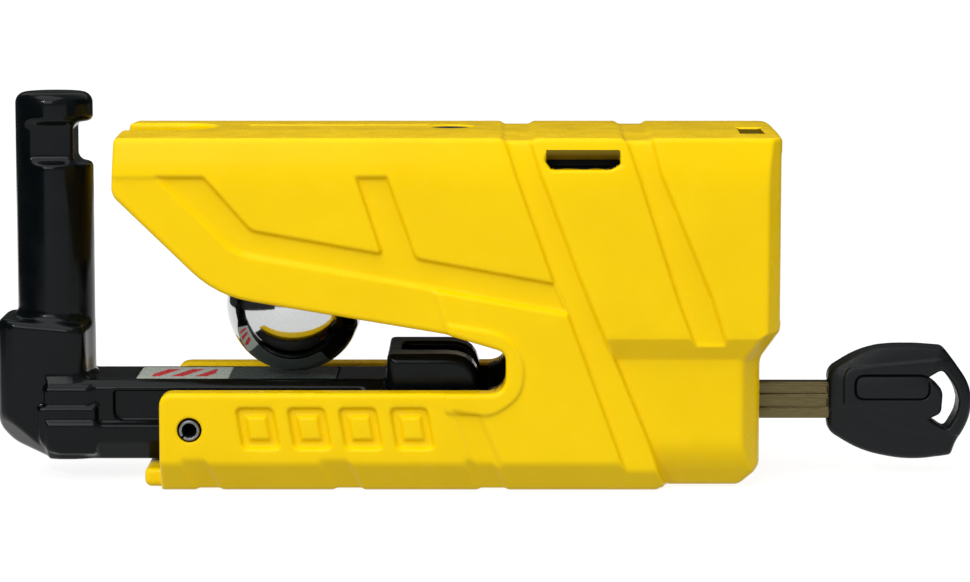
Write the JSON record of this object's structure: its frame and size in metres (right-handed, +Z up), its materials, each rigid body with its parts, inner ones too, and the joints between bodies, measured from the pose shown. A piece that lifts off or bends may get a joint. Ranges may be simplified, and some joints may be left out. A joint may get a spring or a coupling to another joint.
{
  "type": "disc brake lock",
  "caption": "Motorcycle disc brake lock with a sliding L-shaped bolt, a captive ball, an alarm bay and a key in its cylinder.",
  "frame": {"origin": "middle of the bounding box's footprint, on the surface the body stands on", "axes": "+X from the locking pin towards the key, +Y away from the side with the sound slot, +Z up"},
  "size_m": [0.1716, 0.044, 0.0678],
  "materials": {
    "body_paint": "glossy yellow enamel",
    "bolt_paint": "glossy black enamel",
    "ball_steel": "mirror polished",
    "steel": "machined",
    "hard_steel": "hardened, dark",
    "key_metal": "nickel silver, worn",
    "brass": "turned",
    "black_plastic": "fine matte grain",
    "grey_plastic": "matte",
    "lens": "smoked, clear",
    "led": "clear",
    "seal_rubber": "matte",
    "board": "solder mask",
    "cell_wrap": "shrink sleeve",
    "label": "printed film with plain coloured bars"
  },
  "bodies": {
    "body": {"lock_body": "body_paint", "rear_cap": "body_paint", "cap_gasket": "seal_rubber", "cap_screw_front": "steel", "cap_screw_rear": "steel", "arm_fork_plate": "hard_steel", "ball_cup": "grey_plastic", "guide_rail_front": "black_plastic", "guide_rail_rear": "black_plastic", "roll_pin_front": "steel", "roll_pin_rear": "steel", "led_lens": "lens", "led_emitter": "led", "led_lead": "black_plastic", "pin_sensor": "grey_plastic", "sensor_lead": "black_plastic", "sound_mesh": "steel", "piezo_housing": "black_plastic", "piezo_disc": "brass", "circuit_board": "board", "control_chip": "black_plastic", "motion_sensor": "black_plastic", "alarm_frame": "grey_plastic", "battery_cell": "cell_wrap", "battery_spring": "steel", "battery_contact": "steel", "cylinder_housing": "brass", "cylinder_retaining_pin": "steel", "drill_plate": "hard_steel"},
    "sledge": {"sledge": "bolt_paint", "bar_label": "label"},
    "ball": {"steel_ball": "ball_steel"},
    "plug": {"cylinder_plug": "brass", "lock_bolt": "hard_steel", "sidebar": "steel", "tumbler_disc_1": "brass", "tumbler_disc_2": "brass", "tumbler_disc_3": "brass", "tumbler_disc_4": "brass", "tumbler_disc_5": "brass", "tumbler_disc_6": "brass"},
    "key": {"key_blade": "key_metal", "key_head": "black_plastic", "key_badge": "grey_plastic"}
  },
  "joints": [
    {"name": "sledge_slide", "type": "slide", "parent": "body", "child": "sledge", "axis": [1, 0, 0], "range_m": [0, 0.0208]},
    {"name": "ball_roll", "type": "hinge", "parent": "body", "child": "ball", "pos_m": [-0.0335, 0, 0.0305], "axis": [0, 1, 0], "range_deg": [-100, 0]},
    {"name": "key_turn", "type": "hinge", "parent": "body", "child": "plug", "pos_m": [0.03, 0, 0.0134], "axis": [1, 0, 0], "range_deg": [0, 90]},
    {"name": "key_pull", "type": "slide", "parent": "plug", "child": "key", "axis": [1, 0, 0], "range_m": [0, 0.035]}
  ],
  "couplings": [
    {"joint": "ball_roll", "follows": "sledge_slide", "rad_per_m": -83.333}
  ]
}
